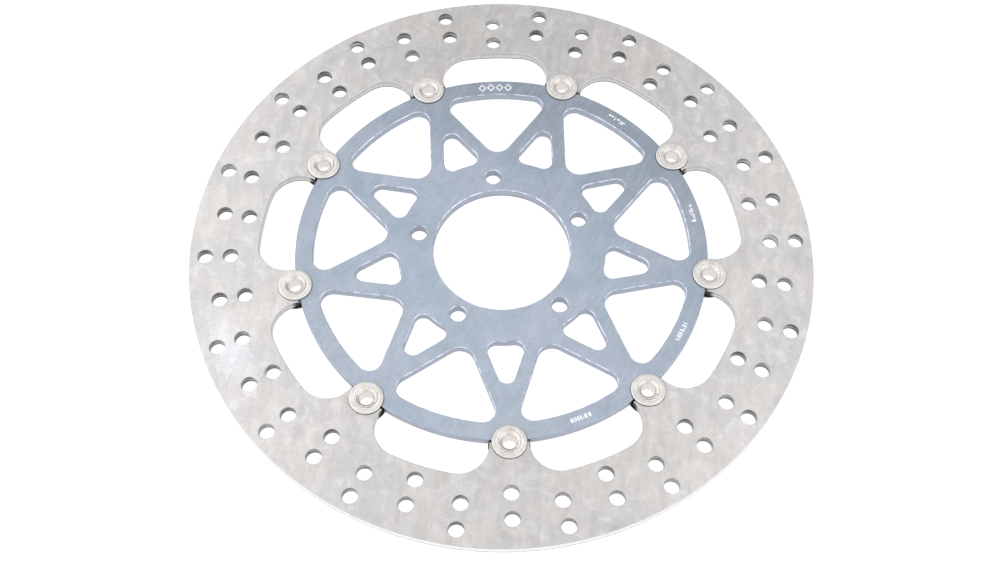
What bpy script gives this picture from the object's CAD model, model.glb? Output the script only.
"""Looks of the floating brake disc: materials on the CAD ring and carrier, turned buttons, etched marks.

Object places are in metres, in the frame's own axes; materials work in millimetres on the object.
"""

import math
import random

import bmesh
import bpy
from mathutils import Matrix, Vector


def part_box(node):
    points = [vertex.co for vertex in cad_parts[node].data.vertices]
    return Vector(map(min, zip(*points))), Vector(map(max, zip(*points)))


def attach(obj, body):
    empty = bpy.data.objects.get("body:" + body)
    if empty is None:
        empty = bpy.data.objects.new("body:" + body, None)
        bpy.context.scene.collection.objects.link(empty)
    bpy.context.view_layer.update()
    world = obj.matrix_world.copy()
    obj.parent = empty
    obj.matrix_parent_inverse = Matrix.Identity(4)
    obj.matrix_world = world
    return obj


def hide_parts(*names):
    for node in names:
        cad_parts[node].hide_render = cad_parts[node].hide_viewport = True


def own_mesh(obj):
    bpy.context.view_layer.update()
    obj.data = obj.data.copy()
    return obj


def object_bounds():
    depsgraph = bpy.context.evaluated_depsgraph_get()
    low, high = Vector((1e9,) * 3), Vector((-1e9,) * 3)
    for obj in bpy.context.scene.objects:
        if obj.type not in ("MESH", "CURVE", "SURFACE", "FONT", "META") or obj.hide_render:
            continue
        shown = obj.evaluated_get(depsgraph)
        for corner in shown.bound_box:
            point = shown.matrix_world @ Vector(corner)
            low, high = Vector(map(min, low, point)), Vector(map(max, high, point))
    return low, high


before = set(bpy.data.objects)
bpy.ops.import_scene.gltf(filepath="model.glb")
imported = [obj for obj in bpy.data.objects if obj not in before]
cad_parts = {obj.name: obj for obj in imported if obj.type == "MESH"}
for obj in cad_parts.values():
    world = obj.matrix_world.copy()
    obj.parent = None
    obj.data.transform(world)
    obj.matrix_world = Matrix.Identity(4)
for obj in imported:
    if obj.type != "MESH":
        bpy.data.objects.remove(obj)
cad_low, cad_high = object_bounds()

MM = 0.001

# Sizes read from the frame, in metres
bush_low, bush_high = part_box("button_bush_1")
washer_low, washer_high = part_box("front_washer_1")
FRONT_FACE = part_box("brake_ring")[1].z
BUTTON_CIRCLE = (bush_low.x + bush_high.x) / 2
RIM_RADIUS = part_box("carrier")[1].y
WASHER_RADIUS = (washer_high.x - washer_low.x) / 2

# Buttons
BUTTONS = 9
BUTTON_PITCH = 360 / BUTTONS
HEAD_THICKNESS = 1.2 * MM
WASHER_BORE = 4.65 * MM
WASHER_COUNTERSINK = 5.75 * MM
WASHER_GROOVE_INSET = 2.2 * MM
WASHER_FOOT_INSET = 0.04 * MM
BUSH_BORE = 3.5 * MM
BUSH_NECK = 4.6 * MM
BUSH_LIP = 5.45 * MM
BUSH_BODY = 6.5 * MM
WASHER_SEGMENTS = 96
BUSH_SEGMENTS = 128
SPRING_SEGMENTS = 96
DENTS_PER_LIP = 5
SPRING_WAVES = 3
SPRING_THICKNESS = 0.35 * MM
SPRING_WIDTH = 2.5 * MM
SPRING_EDGE_RADIUS = 0.08 * MM

# Etched marks on the carrier's rim; angles in degrees
ETCHING_HEIGHT = 0.015 * MM
ETCHING_INSET = 4.4 * MM
LOZENGES = 4
LOZENGE_ANGLE = 140
LOZENGE_PITCH = 4.7 * MM
LOZENGE_HALF_SIZE = (2.1 * MM, 2.4 * MM)
LOZENGE_INNER_SHARE = 0.68
BAR_ROW_ANGLES = (100, 60, 20, 340)
BAR_ROW_SPAN = (-5.6 * MM, 5.0 * MM)
BAR_TOP = 1.1 * MM
BAR_STEP = 0.8 * MM

# Places on the disc that the materials know, in millimetres
HUB_SEAT_RADIUS = 52.0
DRILLED_BAND = (127.0, 157.5)
OUTER_WALL_RADIUS = 158.0
TAB_END_RADIUS = 107.9
WINDOW_ARC_RADIUS = 97.0
GRIME_RING = (WASHER_RADIUS / MM + 0.55, WASHER_RADIUS / MM + 0.1)

# Dark seat lines: lowest and highest z, inner and outer radius; and where the bright hollows start
WASHER_CREVICE = (4.9, 5.5, 7.5, 8.8)
BUSH_CREVICE = (5.9, 6.26, 5.0, 5.7)
WASHER_HOLLOW = 4.5
BUSH_HOLLOW = 3.5

# Oval marks on the ring: centre, half length and half width in millimetres, turn in degrees
WASH_MARK = ((-46.0, -138.5), (24.0, 8.0), -17.0)
GREY_MARKS = (((119.0, -103.5), (7.0, 3.5), -50.0), ((146.0, -63.0), (5.0, 3.0), 20.0))

# Slow changes of the finish: a unit direction across the ring, and an angle on the carrier
POLISH_ACROSS = (0.682, 0.731)
FADE_TURN = math.radians(112)

# Studio: angles round Z in degrees, spans of a direction's share and the strengths at their ends
FLOOR_SIZE = 8
FLOOR_GLOW = 0.85
SKY_BRIGHT_TURN = 288
SKY_SPAN = (-0.95, -0.28)
SKY_STRENGTH = (0.358, 1.305)
SKY_SIDE_TURN = 48
SKY_SIDES = ((0.0, 0.36), (0.80, 1.36))
SKY_PANELS = ((0.50, 0.80), (0.0, 0.3))

# Camera: metres, degrees and millimetres of lens
CAMERA_PLACE = (0.27127, -0.25058, 0.65040)
CAMERA_AIM = (0.01263, -0.01249, 0.0025)
CAMERA_ROLL = 0.768
CAMERA_LENS = 52.01
CAMERA_SENSOR = 36.0


def button_angle(number):
    """Angle of a button, numbered from 1 on +X, in radians."""
    return math.radians((number - 1) * BUTTON_PITCH)


# ---------------------------------------------------------------- node graphs


class Graph:
    """A node tree built with short calls."""

    def __init__(self, tree):
        self.tree = tree
        self.tree.nodes.clear()

    def put(self, socket, value):
        if isinstance(value, bpy.types.NodeSocket):
            self.tree.links.new(value, socket)
        elif value is not None:
            socket.default_value = value

    def node(self, kind, inputs=(), **settings):
        made = self.tree.nodes.new(kind)
        for key, value in settings.items():
            setattr(made, key, value)
        pairs = inputs.items() if isinstance(inputs, dict) else enumerate(inputs)
        for key, value in pairs:
            self.put(made.inputs[key], value)
        return made

    def math(self, operation, *values):
        return self.node("ShaderNodeMath", values, operation=operation).outputs[0]

    def plus(self, first, *others):
        for other in others:
            first = self.math("ADD", first, other)
        return first

    def times(self, first, *others):
        for other in others:
            first = self.math("MULTIPLY", first, other)
        return first

    def vector(self, operation, *values):
        made = self.node("ShaderNodeVectorMath", operation=operation)
        for key, value in enumerate(values):
            slot = made.inputs["Scale"] if operation == "SCALE" and key == 1 else made.inputs[key]
            self.put(slot, value)
        return made.outputs["Value"] if operation in ("LENGTH", "DOT_PRODUCT") else made.outputs[0]

    def split(self, vector):
        return self.node("ShaderNodeSeparateXYZ", [vector]).outputs

    def join(self, x, y, z):
        return self.node("ShaderNodeCombineXYZ", [x, y, z]).outputs[0]

    def ramp(self, value, start, end, low=0.0, high=1.0, smooth=False):
        """The value mapped from start..end to low..high, held at both ends."""
        kind = "SMOOTHSTEP" if smooth else "LINEAR"
        inputs = [value, start, end, low, high]
        return self.node("ShaderNodeMapRange", inputs, interpolation_type=kind).outputs[0]


class Finish(Graph):
    """One material's graph, with its place on the object in millimetres."""

    def __init__(self, name):
        self.material = bpy.data.materials.new(name)
        self.material.use_nodes = True
        super().__init__(self.material.node_tree)
        coordinates = self.node("ShaderNodeTexCoord").outputs["Object"]
        self.place = self.vector("SCALE", coordinates, 1 / MM)
        self.x, self.y, self.z = self.split(self.place)
        self.radius = self.vector("LENGTH", self.join(self.x, self.y, 0.0))

    def survey_plate(self):
        """Shares that tell a flat plate's faces, walls and edge chamfers apart, and the way to a button."""
        normal = self.node("ShaderNodeNewGeometry").outputs["True Normal"]
        self.facing = self.math("ABSOLUTE", self.split(normal)[2])
        self.wall = self.ramp(self.facing, 0.35, 0.15)
        self.chamfer = self.times(self.ramp(self.facing, 0.95, 0.85), self.ramp(self.facing, 0.35, 0.55))
        self.button_reach = self.reach_to_button()

    def reach_to_button(self):
        """Distance in millimetres to the nearest button centre."""
        pitch = math.radians(BUTTON_PITCH)
        turn = self.plus(self.math("ARCTAN2", self.y, self.x), pitch / 2)
        turn = self.math("SUBTRACT", self.math("FLOORED_MODULO", turn, pitch), pitch / 2)
        out = self.times(self.radius, self.math("COSINE", turn))
        out = self.math("SUBTRACT", out, BUTTON_CIRCLE / MM)
        aside = self.times(self.radius, self.math("SINE", turn))
        return self.vector("LENGTH", self.join(out, aside, 0.0))

    def turned(self, degrees, stretch):
        """The place turned about Z, then stretched: a long grain runs across a small stretch."""
        mapping = self.node("ShaderNodeMapping", {"Vector": self.place}, vector_type="TEXTURE")
        mapping.inputs["Rotation"].default_value = (0, 0, math.radians(degrees))
        mapping.inputs["Scale"].default_value = tuple(1 / s for s in stretch)
        return mapping.outputs[0]

    def noise(self, vector, scale, detail=3.0, roughness=0.5, distortion=0.0):
        inputs = {"Vector": vector, "Scale": scale, "Detail": detail, "Roughness": roughness}
        inputs["Distortion"] = distortion
        return self.node("ShaderNodeTexNoise", inputs).outputs[0]

    def grain(self, degrees, stretch, detail, roughness=0.5, distortion=0.0):
        """Noise drawn out one way, for scratches and brushing."""
        return self.noise(self.turned(degrees, stretch), 1.0, detail, roughness, distortion)

    def mix(self, share, a, b, blend="MIX"):
        """Colour mix of a and b, the share of b given."""
        made = self.node("ShaderNodeMix", data_type="RGBA", blend_type=blend)
        self.put(made.inputs["Factor"], share)
        for key, value in (("A", a), ("B", b)):
            sockets = [s for s in made.inputs if s.name == key and s.type == "RGBA"]
            self.put(sockets[0], (*value, 1) if isinstance(value, tuple) and len(value) == 3 else value)
        return [s for s in made.outputs if s.type == "RGBA"][0]

    def grey(self, value):
        return self.join(value, value, value)

    def shaded(self, colour, factor):
        """The colour made darker or lighter by a factor."""
        return self.mix(1.0, colour, self.grey(factor), "MULTIPLY")

    def oval_mark(self, oval, rough_edge):
        """Share of one faint oval mark with an uneven edge."""
        (centre_x, centre_y), (half_long, half_wide), degrees = oval
        c, s = math.cos(math.radians(degrees)), math.sin(math.radians(degrees))
        dx, dy = self.math("SUBTRACT", self.x, centre_x), self.math("SUBTRACT", self.y, centre_y)
        along = self.plus(self.times(dx, c / half_long), self.times(dy, s / half_long))
        across = self.math("SUBTRACT", self.times(dy, c / half_wide), self.times(dx, s / half_wide))
        reach = self.vector("LENGTH", self.join(along, across, 0.0))
        reach = self.plus(reach, self.ramp(rough_edge, 0.3, 0.7, -0.7, 0.7))
        return self.ramp(reach, 1.0, 0.9, 0.0, 0.65)

    def grime_ring(self, colour, grime):
        """The colour with a dirty line round each front washer."""
        share = self.times(self.ramp(self.button_reach, *GRIME_RING), self.ramp(self.facing, 0.6, 0.9))
        return self.mix(self.times(share, 0.6), colour, grime)

    def bump(self, height, strength, distance):
        inputs = {"Height": height, "Strength": strength, "Distance": distance}
        return self.node("ShaderNodeBump", inputs).outputs[0]

    def finished(self, **sockets):
        """The material, its shader fed by socket names with _ for a space."""
        shader = self.node("ShaderNodeBsdfPrincipled")
        for key, value in sockets.items():
            self.put(shader.inputs[key.replace("_", " ")], value)
        self.node("ShaderNodeOutputMaterial", {"Surface": shader.outputs[0]})
        return self.material


# ---------------------------------------------------------------- ring and carrier


def ground_steel():
    """Brake ring: ground stainless, speckled and stained, with crossed scratches and dark drilled walls."""
    g = Finish("ground_steel")
    g.survey_plate()
    blotch = g.noise(g.place, 0.11, 5.0, 0.62, 1.4)
    smudge = g.noise(g.turned(24, (1, 0.45, 1)), 0.20, 6.0, 0.68, 0.8)
    speckle = g.noise(g.place, 1.1, 5.0, 0.7)
    lines = g.grain(38, (0.02, 1.6, 1), 2.0, 0.6)
    crossing = g.grain(112, (0.03, 1.3, 1), 2.0, 0.6)
    nick = g.grain(9, (0.12, 0.9, 1), 4.0, 0.6, 0.4)
    band = g.noise(g.join(0.0, 0.0, g.z), 2.3, 2.0, 0.6)

    relief = g.plus(g.ramp(lines, 0.3, 0.7, -0.014, 0.014), g.ramp(crossing, 0.3, 0.7, -0.012, 0.012))
    relief = g.plus(relief, g.ramp(speckle, 0.25, 0.75, -0.07, 0.07))
    relief = g.plus(relief, g.ramp(blotch, 0.3, 0.7, -0.06, 0.06))
    face = steel_face(g, blotch, smudge, relief, nick)
    colour = g.mix(g.wall, face, steel_wall(g, band))
    colour = g.mix(g.times(g.chamfer, 0.8), colour, (0.50, 0.49, 0.49))
    under = g.times(g.ramp(g.z, 0.5, 0.3), g.math("MAXIMUM", g.chamfer, g.wall))
    colour = g.mix(g.times(under, 0.75), colour, (0.10, 0.10, 0.10))
    colour = g.grime_ring(colour, (0.12, 0.11, 0.10))

    rough = g.plus(g.ramp(blotch, 0.3, 0.7, 0.36, 0.46), g.ramp(smudge, 0.5, 0.8, 0.0, 0.1))
    rough = g.plus(rough, g.times(g.wall, -0.05))
    height = g.plus(lines, crossing, g.times(speckle, 1.4), g.times(g.times(band, g.wall), 2.0))
    normal = g.bump(g.plus(height, g.ramp(nick, 0.68, 0.78, 0.0, -1.5)), 0.25, 0.00003)
    return g.finished(Base_Color=colour, Metallic=0.82, Roughness=rough, Normal=normal)


def steel_face(g, blotch, smudge, relief, nick):
    """Colour of the ground faces: warm clouds, stains, cleaned patches and the lines of the grinding."""
    cloud = g.noise(g.place, 0.022, 3.0, 0.55, 0.6)
    scratch = g.grain(74, (0.035, 1.1, 1), 3.0, 0.55, 0.15)
    veil = g.grain(134, (0.045, 0.17, 1), 4.0, 0.55, 0.9)
    colour = g.mix(g.ramp(cloud, 0.38, 0.62), (0.628, 0.615, 0.626), (0.680, 0.656, 0.640))
    colour = g.mix(g.ramp(smudge, 0.56, 0.76, 0.0, 0.55), colour, (0.52, 0.50, 0.485))
    colour = g.mix(g.ramp(blotch, 0.54, 0.60, 0.0, 0.38), colour, (0.735, 0.725, 0.735))
    colour = g.mix(g.oval_mark(WASH_MARK, blotch), colour, (0.80, 0.78, 0.82))
    for oval in GREY_MARKS:
        colour = g.mix(g.oval_mark(oval, smudge), colour, (0.55, 0.55, 0.56))
    tone = g.plus(relief, g.ramp(veil, 0.3, 0.7, -0.075, 0.075))
    tone = g.plus(tone, g.ramp(scratch, 0.62, 0.74, 0.0, 0.07))
    tone = g.plus(tone, g.ramp(nick, 0.68, 0.78, 0.0, -0.22))
    aside = g.plus(g.times(g.x, POLISH_ACROSS[0]), g.times(g.y, POLISH_ACROSS[1]))
    polish = g.ramp(g.math("ABSOLUTE", aside), 20.0, 150.0, 0.935, 1.065, smooth=True)
    return g.shaded(colour, g.times(polish, g.plus(tone, 1.0)))


def steel_wall(g, band):
    """Colour of the cut walls: gap walls and outer wall, black at the tab ends, and darker drilled holes."""
    chatter = g.noise(g.turned(0, (1, 1, 0.2)), 1.3, 4.0, 0.65)
    swept = g.join(g.times(g.x, 0.09), g.times(g.y, 0.09), g.times(g.z, 0.75))
    arcs = g.noise(swept, 1.0, 3.0, 0.6)
    wear = g.noise(g.place, 0.04, 1.0, 0.5)
    burr = g.times(g.ramp(g.z, 1.05, 0.75), g.ramp(chatter, 0.35, 0.55, 0.6, 1.0))
    outside = g.ramp(g.radius, OUTER_WALL_RADIUS, OUTER_WALL_RADIUS + 1.0)

    cut = g.plus(g.ramp(band, 0.35, 0.65, 0.50, 0.58), g.ramp(chatter, 0.35, 0.65, -0.09, 0.07))
    cut = g.times(cut, g.math("MAXIMUM", g.ramp(g.z, 3.0, 3.5, 1.0, 0.80), outside))
    cut = g.plus(cut, g.times(outside, 0.24))
    cut = g.times(cut, g.ramp(burr, 0.0, 1.0, 1.0, 0.25))
    packed = g.ramp(g.button_reach, 10.4, 9.7)
    packed = g.math("MAXIMUM", packed, g.ramp(g.radius, TAB_END_RADIUS + 0.7, TAB_END_RADIUS))
    cut = g.times(cut, g.ramp(packed, 0.0, 1.0, 1.0, 0.04))

    hole = g.ramp(wear, 0.35, 0.65, 0.18, 0.44)
    hole = g.times(hole, g.ramp(chatter, 0.35, 0.65, 0.75, 1.2))
    hole = g.times(hole, g.ramp(arcs, 0.40, 0.58, 0.22, 1.3))
    hole = g.times(hole, g.ramp(burr, 0.0, 1.0, 1.0, 0.12))
    inner, outer = DRILLED_BAND
    drilled = g.times(g.ramp(g.radius, inner - 1.0, inner), g.ramp(g.radius, outer + 1.0, outer))
    return g.mix(drilled, g.grey(cut), g.grey(hole))


def anodised_aluminium():
    """Carrier: blue-grey anodised sheet, cloudy brushed streaks one way, bright broken edges."""
    g = Finish("anodised_aluminium")
    g.survey_plate()
    streak = g.grain(111, (0.05, 0.55, 1), 4.0, 0.6)
    brush = g.grain(111, (0.06, 2.6, 1), 3.0, 0.65)
    mist = g.noise(g.place, 0.55, 5.0, 0.7)
    gash = g.grain(104, (0.09, 1.2, 1), 3.0, 0.6, 0.2)
    saw = g.noise(g.join(0.0, 0.0, g.z), 1.7, 3.0, 0.65)

    colour = g.mix(g.wall, anodised_face(g, streak, brush, mist, gash), anodised_wall(g, saw, mist))
    colour = g.mix(g.chamfer, colour, anodised_edge(g))
    colour = g.grime_ring(colour, (0.05, 0.05, 0.06))
    rings = g.noise(g.join(g.radius, 0.0, 0.0), 3.0, 2.0, 0.6)
    seat = g.times(g.ramp(g.z, -0.42, -0.48), g.ramp(g.radius, HUB_SEAT_RADIUS, HUB_SEAT_RADIUS - 0.4))
    bare = g.mix(g.ramp(rings, 0.3, 0.7), (0.66, 0.67, 0.68), (0.80, 0.80, 0.81))
    colour = g.mix(seat, colour, bare)

    rough = g.plus(g.ramp(streak, 0.3, 0.7, 0.40, 0.50), g.times(g.chamfer, -0.15))
    height = g.plus(brush, mist, g.times(g.times(saw, g.wall), 1.5))
    normal = g.bump(g.plus(height, g.ramp(gash, 0.68, 0.76, 0.0, -1.0)), 0.25, 0.00003)
    return g.finished(Base_Color=colour, Metallic=0.75, Roughness=rough, Normal=normal)


def anodised_face(g, streak, brush, mist, gash):
    """Colour of the carrier's faces: a slow fade across it, streaks, haze, and light and dark flecks."""
    cloud = g.noise(g.place, 0.035, 3.0, 0.55, 0.5)
    haze = g.noise(g.place, 0.12, 4.0, 0.6, 0.8)
    fleck = g.noise(g.place, 1.5, 2.0, 0.5)
    faded = g.plus(g.times(g.x, math.cos(FADE_TURN)), g.times(g.y, math.sin(FADE_TURN)))
    colour = g.mix(g.ramp(cloud, 0.36, 0.64), (0.388, 0.462, 0.552), (0.456, 0.507, 0.604))
    colour = g.shaded(colour, g.ramp(faded, 5.0, 100.0, 1.0, 0.80, smooth=True))
    colour = g.shaded(colour, g.ramp(g.radius, 50.0, 95.0, 1.0, 0.94))
    colour = g.mix(g.ramp(faded, -30.0, -80.0, 0.0, 0.18), colour, (0.50, 0.545, 0.60))
    colour = g.mix(g.ramp(streak, 0.50, 0.78, 0.0, 0.34), colour, (0.58, 0.64, 0.73))
    colour = g.shaded(colour, g.ramp(haze, 0.3, 0.7, 0.94, 1.06))
    colour = g.shaded(colour, g.ramp(brush, 0.3, 0.7, 0.975, 1.025))
    colour = g.shaded(colour, g.ramp(mist, 0.3, 0.7, 0.94, 1.06))
    colour = g.mix(g.ramp(gash, 0.68, 0.76, 0.0, 0.5), colour, (0.66, 0.71, 0.79))
    colour = g.mix(g.ramp(fleck, 0.70, 0.76, 0.0, 0.7), colour, (0.74, 0.79, 0.86))
    return g.mix(g.ramp(fleck, 0.30, 0.25, 0.0, 0.5), colour, (0.26, 0.30, 0.38))


def anodised_wall(g, saw, mist):
    """Colour of the carrier's cut walls, black with dirt in the button seats."""
    colour = g.mix(g.ramp(saw, 0.35, 0.65), (0.27, 0.30, 0.37), (0.40, 0.43, 0.50))
    colour = g.shaded(colour, g.ramp(mist, 0.3, 0.7, 0.9, 1.1))
    colour = g.mix(g.ramp(g.z, 0.8, 0.45, 0.0, 0.45), colour, (0.18, 0.18, 0.24))
    in_rim = g.ramp(g.radius, WINDOW_ARC_RADIUS, WINDOW_ARC_RADIUS + 1.0)
    packed = g.times(g.ramp(g.button_reach, 10.2, 9.7), in_rim)
    return g.mix(g.times(packed, 0.97), colour, (0.004, 0.004, 0.004))


def anodised_edge(g):
    """Colour of the carrier's chamfers: the anodising is rubbed off in bright stretches, less on the rim."""
    rubbed = g.ramp(g.noise(g.place, 0.20, 3.0, 0.6), 0.43, 0.55, 0.05, 0.75)
    rubbed = g.times(rubbed, g.ramp(g.radius, 104.5, 103.5, 0.2, 1.0))
    return g.mix(rubbed, (0.31, 0.34, 0.43), (0.72, 0.76, 0.90))


# ---------------------------------------------------------------- small finishes


def plated_steel(name, shade, crevice, hollow_radius):
    """Buttons: pale nickel plate with turning rings, handling marks and a dark line where it seats."""
    g = Finish(name)
    seed = g.times(g.node("ShaderNodeObjectInfo").outputs["Random"], 40.0)
    moved = g.vector("ADD", g.place, g.join(seed, seed, seed))
    rings = g.noise(g.join(g.radius, 0.0, g.z), 4.5, 3.0, 0.6)
    patch = g.noise(moved, 0.35, 4.0, 0.6, 0.5)
    dirt = g.noise(moved, 1.3, 4.0, 0.65)
    dull, dark, light = (tuple(min(1.0, c * factor) for c in shade) for factor in (0.62, 0.88, 1.05))

    colour = g.mix(g.ramp(patch, 0.35, 0.65), dark, light)
    colour = g.mix(g.ramp(dirt, 0.60, 0.74, 0.0, 0.45), colour, dull)
    colour = g.shaded(colour, g.ramp(rings, 0.3, 0.7, 0.95, 1.04))
    flare = g.times(g.ramp(g.radius, 5.1, 4.8), g.ramp(g.z, 5.2, 5.4))
    colour = g.mix(g.times(flare, g.ramp(dirt, 0.42, 0.62, 0.45, 0.9)), colour, (0.54, 0.50, 0.475))
    hollow = g.ramp(g.radius, hollow_radius + 0.25, hollow_radius + 0.05)
    colour = g.mix(g.times(hollow, 0.85), colour, (0.80, 0.76, 0.75))
    low, high, inner, outer = crevice
    seam = g.times(g.ramp(g.z, high, high - 0.08), g.ramp(g.z, low - 0.1, low))
    seam = g.times(seam, g.times(g.ramp(g.radius, inner, inner + 0.1), g.ramp(g.radius, outer, outer - 0.1)))
    colour = g.mix(g.times(seam, g.ramp(dirt, 0.3, 0.6, 0.95, 0.55)), colour, (0.05, 0.04, 0.035))
    rough = g.ramp(patch, 0.3, 0.7, 0.26, 0.40)
    normal = g.bump(g.plus(rings, g.times(patch, 0.8)), 0.25, 0.00004)
    return g.finished(Base_Color=colour, Metallic=0.8, Roughness=rough, Normal=normal)


def black_spring():
    """Wave springs: black phosphated spring steel, dusty, with small worn spots."""
    g = Finish("black_spring_steel")
    dust = g.noise(g.place, 0.8, 4.0, 0.6)
    worn = g.noise(g.place, 2.5, 2.0, 0.5)
    colour = g.mix(g.ramp(dust, 0.4, 0.7), (0.010, 0.010, 0.011), (0.035, 0.034, 0.036))
    colour = g.mix(g.ramp(worn, 0.66, 0.74, 0.0, 0.5), colour, (0.12, 0.12, 0.12))
    return g.finished(Base_Color=colour, Metallic=0.2, Roughness=0.5, Normal=g.bump(dust, 0.3, 0.00003))


def etched_white():
    """Laser etching in the anodised face: chalky white, a little uneven."""
    g = Finish("etched_white")
    grain = g.noise(g.place, 3.0, 3.0, 0.6)
    colour = g.mix(g.ramp(grain, 0.35, 0.65), (0.78, 0.81, 0.86), (0.95, 0.96, 0.98))
    return g.finished(Base_Color=colour, Metallic=0.0, Roughness=0.7, Normal=g.bump(grain, 0.2, 0.00002))


def pale_floor():
    """Plain white table, lit from within like a light table so that shadows stay faint."""
    g = Finish("pale_floor")
    tone = g.noise(g.place, 0.01, 2.0, 0.5)
    return g.finished(
        Base_Color=g.mix(g.ramp(tone, 0.3, 0.7), (0.30, 0.30, 0.30), (0.32, 0.32, 0.32)),
        Roughness=0.9,
        Specular_IOR_Level=0.0,
        Emission_Color=(1, 1, 1, 1),
        Emission_Strength=FLOOR_GLOW,
    )


# ---------------------------------------------------------------- mesh helpers


def new_mesh(name, work):
    """Mesh from a bmesh, which is freed."""
    bmesh.ops.recalc_face_normals(work, faces=work.faces)
    mesh = bpy.data.meshes.new(name)
    work.to_mesh(mesh)
    work.free()
    return mesh


def make_object(name, mesh, material, body, smooth_angle=35):
    """Links a mesh as a piece that rides on a body."""
    piece = bpy.data.objects.new(name, mesh)
    bpy.context.collection.objects.link(piece)
    mesh.materials.append(material)
    for polygon in mesh.polygons:
        polygon.use_smooth = True
    mesh.set_sharp_from_angle(angle=math.radians(smooth_angle))
    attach(piece, body)
    return piece


def rounded_profile(corners, steps=5):
    """Closed profile of (r, z) points, each corner (r, z, radius) turned into an arc of its radius."""
    points = []
    count = len(corners)
    for index, (r, z, radius) in enumerate(corners):
        here = Vector((r, z))
        if radius <= 0:
            points.append(here)
            continue
        before = (Vector(corners[index - 1][:2]) - here).normalized()
        after = (Vector(corners[(index + 1) % count][:2]) - here).normalized()
        half = before.angle(after) / 2
        reach = radius / math.tan(half)
        centre = here + (before + after).normalized() * (radius / math.sin(half))
        start = here + before * reach - centre
        end = here + after * reach - centre
        turn = start.angle_signed(end)
        for step in range(steps + 1):
            angle = -turn * step / steps
            c, s = math.cos(angle), math.sin(angle)
            points.append(centre + Vector((start.x * c - start.y * s, start.x * s + start.y * c)))
    return points


def lathe(name, profile, segments, reshape=None):
    """Turns a closed profile (metres) round Z; reshape may move a point by its angle."""
    work = bmesh.new()
    rows = []
    for segment in range(segments):
        angle = 2 * math.pi * segment / segments
        row = []
        for r, z in profile:
            if reshape:
                r, z = reshape(r, z, angle)
            row.append(work.verts.new((r * math.cos(angle), r * math.sin(angle), z)))
        rows.append(row)
    size = len(profile)
    for segment in range(segments):
        this, following = rows[segment], rows[(segment + 1) % segments]
        for index in range(size):
            ahead = (index + 1) % size
            work.faces.new((this[index], following[index], following[ahead], this[ahead]))
    return new_mesh(name, work)


# ---------------------------------------------------------------- buttons


def washer_profile():
    """Front washer: bulged rim that clears its seat by a dark line, shallow groove, countersunk bore."""
    bottom, top = washer_low.z, washer_high.z
    foot = WASHER_RADIUS - WASHER_FOOT_INSET
    groove = WASHER_RADIUS - WASHER_GROOVE_INSET
    return rounded_profile(
        [
            (WASHER_BORE, bottom, 0),
            (foot, bottom, 0),
            (foot, bottom + 0.42 * MM, 0.03 * MM),
            (WASHER_RADIUS, bottom + 0.48 * MM, 0.03 * MM),
            (WASHER_RADIUS, top - 0.02 * MM, 0.38 * MM),
            (groove + 0.35 * MM, top, 0.15 * MM),
            (groove, top - 0.14 * MM, 0.12 * MM),
            (groove - 0.35 * MM, top - 0.02 * MM, 0.15 * MM),
            (WASHER_COUNTERSINK, top - 0.02 * MM, 0.06 * MM),
            (WASHER_BORE, top - 0.45 * MM, 0),
        ]
    )


def bush_profile():
    """Hollow bush: head behind, body in the seats, neck, and the end flared into the washer."""
    bottom, top = bush_low.z, bush_high.z
    head = (bush_high.x - bush_low.x) / 2
    head_top = bottom + HEAD_THICKNESS
    seat, over = washer_low.z, washer_high.z
    return rounded_profile(
        [
            (BUSH_BORE, bottom, 0.25 * MM),
            (head, bottom, 0.3 * MM),
            (head, head_top, 0.15 * MM),
            (BUSH_BODY, head_top, 0.1 * MM),
            (BUSH_BODY, seat, 0),
            (BUSH_NECK, seat, 0),
            (BUSH_NECK, over - 0.35 * MM, 0.05 * MM),
            (BUSH_LIP, over + 0.05 * MM, 0.08 * MM),
            (BUSH_LIP - 0.12 * MM, top - 0.01 * MM, 0.16 * MM),
            (BUSH_LIP - 0.45 * MM, top - 0.03 * MM, 0.12 * MM),
            (BUSH_BORE + 0.45 * MM, over - 0.55 * MM, 0.5 * MM),
            (BUSH_BORE, seat + 0.1 * MM, 0.5 * MM),
        ],
        steps=6,
    )


def staking(rng):
    """Reshapes one bush's flared lip with random dents and a slight wave; depths are in millimetres."""
    lip_floor = washer_high.z + 0.06 * MM
    funnel_radius = 4.0 * MM
    dents = []
    for _ in range(DENTS_PER_LIP):
        dents.append((rng.uniform(0, 2 * math.pi), rng.uniform(0.12, 0.28), rng.uniform(0.12, 0.3)))
    swell = rng.uniform(0, 2 * math.pi)

    def stake(r, z, turn):
        if z < lip_floor or r < funnel_radius:
            return r, z
        sink = 0.03 * (1 + math.cos(2 * (turn - swell)))
        for place, width, depth in dents:
            apart = abs((turn - place + math.pi) % (2 * math.pi) - math.pi)
            if apart < width:
                sink += depth * (0.5 + 0.5 * math.cos(math.pi * apart / width))
        drop = min(sink * MM, z - lip_floor)
        return r - 0.35 * sink * MM, z - drop

    return stake


def on_button_circle(number):
    angle = button_angle(number)
    return Vector((BUTTON_CIRCLE * math.cos(angle), BUTTON_CIRCLE * math.sin(angle), 0))


def make_buttons(washer_finish, bush_finish):
    """Nine turned buttons; each lip is staked over its washer a little differently."""
    rng = random.Random(7)
    washer_shape = washer_profile()
    bush_shape = bush_profile()
    for number in range(1, BUTTONS + 1):
        name = f"washer_{number}"
        mesh = lathe(name, washer_shape, WASHER_SEGMENTS)
        washer = make_object(name, mesh, washer_finish, f"button_{number}")
        name = f"bush_{number}"
        mesh = lathe(name, bush_shape, BUSH_SEGMENTS, staking(rng))
        bush = make_object(name, mesh, bush_finish, f"button_{number}")
        for piece in (washer, bush):
            piece.location = on_button_circle(number)
        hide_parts(f"front_washer_{number}")
        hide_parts(f"button_bush_{number}")


# ---------------------------------------------------------------- wave springs


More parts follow.
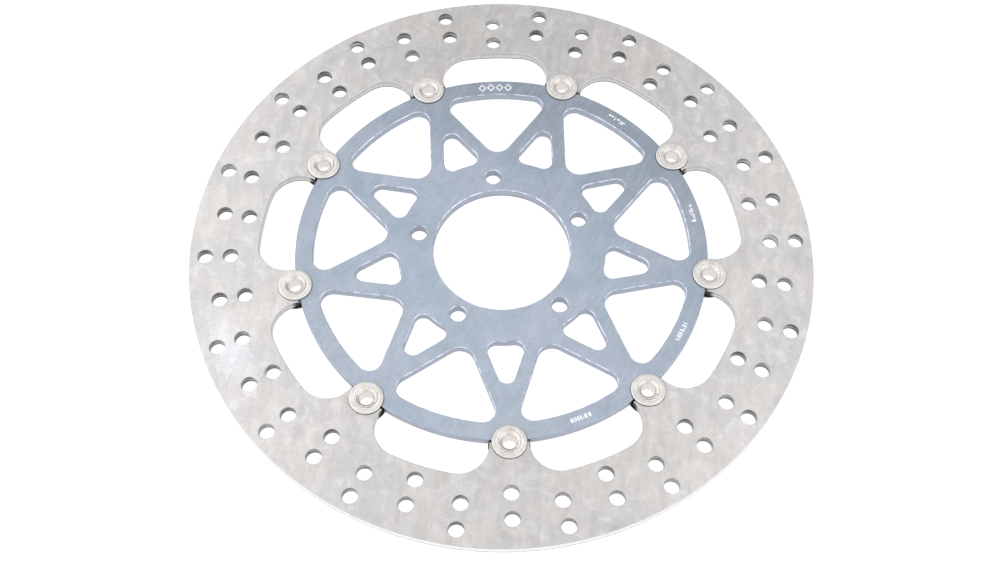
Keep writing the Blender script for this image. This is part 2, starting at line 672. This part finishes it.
def make_springs(finish):
    """Nine wave springs, which flatten onto the bush heads as the ring floats back."""
    for number in range(1, BUTTONS + 1):
        low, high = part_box(f"wave_spring_{number}")
        outer = (high.x - low.x) / 2
        inner = outer - SPRING_WIDTH
        middle = (high.z + low.z) / 2
        swing = (high.z - low.z - SPRING_THICKNESS) / 2
        bottom, top = middle - SPRING_THICKNESS / 2, middle + SPRING_THICKNESS / 2
        corners = ((inner, bottom), (outer, bottom), (outer, top), (inner, top))
        section = rounded_profile([(r, z, SPRING_EDGE_RADIUS) for r, z in corners], steps=3)

        def wave(r, z, turn, swing=swing):
            return r, z + swing * math.cos(SPRING_WAVES * turn)

        name = f"spring_{number}"
        mesh = lathe(name, section, SPRING_SEGMENTS, wave)
        spring = make_object(name, mesh, finish, f"button_{number}")
        spring.location = on_button_circle(number)
        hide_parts(f"wave_spring_{number}")
        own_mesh(spring)


# ---------------------------------------------------------------- etched marks


def etched_plate(name, outlines, finish):
    """Very thin raised etching on the carrier's front face from closed (x, y) outlines in metres."""
    work = bmesh.new()
    for outline in outlines:
        work.faces.new([work.verts.new((x, y, FRONT_FACE + ETCHING_HEIGHT)) for x, y in outline])
    bmesh.ops.recalc_face_normals(work, faces=work.faces)
    grown = bmesh.ops.extrude_face_region(work, geom=list(work.faces))
    moved = [item for item in grown["geom"] if isinstance(item, bmesh.types.BMVert)]
    bmesh.ops.translate(work, verts=moved, vec=(0, 0, -ETCHING_HEIGHT))
    return make_object(name, new_mesh(name, work), finish, "carrier_body")


def bent(along, across, angle, radius):
    """Point at a distance along the rim from an angle (clockwise) and across it (outward)."""
    turn = math.radians(angle) - along / radius
    return ((radius + across) * math.cos(turn), (radius + across) * math.sin(turn))


def lozenge(centre, radius):
    """Four outlines of a hollow lozenge that stands on the rim at a distance along it."""
    half, tall = LOZENGE_HALF_SIZE
    outlines = []
    for sx in (-1, 1):
        for sy in (-1, 1):
            quad = [
                (centre, sy * tall),
                (centre + sx * half, 0),
                (centre + sx * half * LOZENGE_INNER_SHARE, 0),
                (centre, sy * tall * LOZENGE_INNER_SHARE),
            ]
            outlines.append([bent(along, across, LOZENGE_ANGLE, radius) for along, across in quad])
    return outlines


def bar(start, end, low, high, angle, radius):
    """Outline of a short bar that follows the rim."""
    steps = max(2, int((end - start) / BAR_STEP))
    places = [start + (end - start) * i / steps for i in range(steps + 1)]
    below = [bent(along, low, angle, radius) for along in places]
    above = [bent(along, high, angle, radius) for along in places]
    return below + above[::-1]


def bar_row(rng, angle, radius):
    """Outlines of one row of plain bars, their widths, feet and spaces drawn at random."""
    outlines = []
    along, row_end = BAR_ROW_SPAN
    while along < row_end:
        width = rng.choice((0.5, 0.5, 0.8, 1.2)) * MM
        low = rng.choice((-1.1, -1.1, 0.1)) * MM
        outlines.append(bar(along, along + width, low, BAR_TOP, angle, radius))
        along += width + rng.choice((0.45, 0.55, 0.9)) * MM
    return outlines


def make_marks(finish):
    """Generic etching: one row of outlined lozenges and four rows of plain bars on the rim."""
    rng = random.Random(11)
    middle = RIM_RADIUS - ETCHING_INSET
    outlines = []
    for index in range(LOZENGES):
        outlines += lozenge((index - (LOZENGES - 1) / 2) * LOZENGE_PITCH, middle)
    etched_plate("etched_lozenges", outlines, finish)
    for number, angle in enumerate(BAR_ROW_ANGLES, start=1):
        etched_plate(f"etched_bars_{number}", bar_row(rng, angle, middle), finish)


# ---------------------------------------------------------------- stage


def make_floor():
    bpy.ops.mesh.primitive_plane_add(size=FLOOR_SIZE, location=(0, 0, cad_low.z))
    floor = bpy.context.object
    floor.name = "floor"
    floor.data.materials.append(pale_floor())


def make_world():
    """White studio: bright towards SKY_BRIGHT_TURN, dim opposite it, lighter on both sides."""
    world = bpy.data.worlds.new("studio")
    bpy.context.scene.world = world
    world.use_nodes = True
    g = Graph(world.node_tree)
    direction = g.node("ShaderNodeTexCoord").outputs["Generated"]
    bright, side = math.radians(SKY_BRIGHT_TURN), math.radians(SKY_SIDE_TURN)
    towards = g.vector("DOT_PRODUCT", direction, (math.cos(bright), math.sin(bright), 0))
    sideways = g.vector("DOT_PRODUCT", direction, (math.cos(side), math.sin(side), 0))
    spread = g.math("ABSOLUTE", sideways)
    walls = g.plus(*(g.ramp(spread, *span, *gain) for span, gain in (SKY_SIDES, SKY_PANELS)))
    strength = g.times(g.ramp(towards, *SKY_SPAN, *SKY_STRENGTH), walls)
    background = g.node("ShaderNodeBackground", {"Strength": strength})
    g.node("ShaderNodeOutputWorld", {"Surface": background.outputs[0]})


def make_camera():
    data = bpy.data.cameras.new("camera")
    data.sensor_width = CAMERA_SENSOR
    data.lens = CAMERA_LENS
    data.clip_start = 0.01
    data.clip_end = 50.0
    camera = bpy.data.objects.new("camera", data)
    bpy.context.collection.objects.link(camera)
    back = Vector(CAMERA_PLACE) - Vector(CAMERA_AIM)
    facing = back.to_track_quat("Z", "Y").to_matrix().to_4x4()
    roll = Matrix.Rotation(math.radians(CAMERA_ROLL), 4, "Z")
    camera.matrix_world = Matrix.Translation(CAMERA_PLACE) @ facing @ roll
    bpy.context.scene.camera = camera


# ---------------------------------------------------------------- put together


def cover(node, finish):
    """Gives a carried-over CAD node its material."""
    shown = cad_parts[node]
    shown.data.materials.clear()
    shown.data.materials.append(finish)


cover("brake_ring", ground_steel())
cover("carrier", anodised_aluminium())
make_springs(black_spring())
make_buttons(
    plated_steel("washer_plate", (0.80, 0.775, 0.745), WASHER_CREVICE, WASHER_HOLLOW),
    plated_steel("bush_plate", (0.84, 0.81, 0.785), BUSH_CREVICE, BUSH_HOLLOW),
)
make_marks(etched_white())
make_floor()
make_camera()
make_world()
bpy.context.scene.view_settings.view_transform = "Standard"
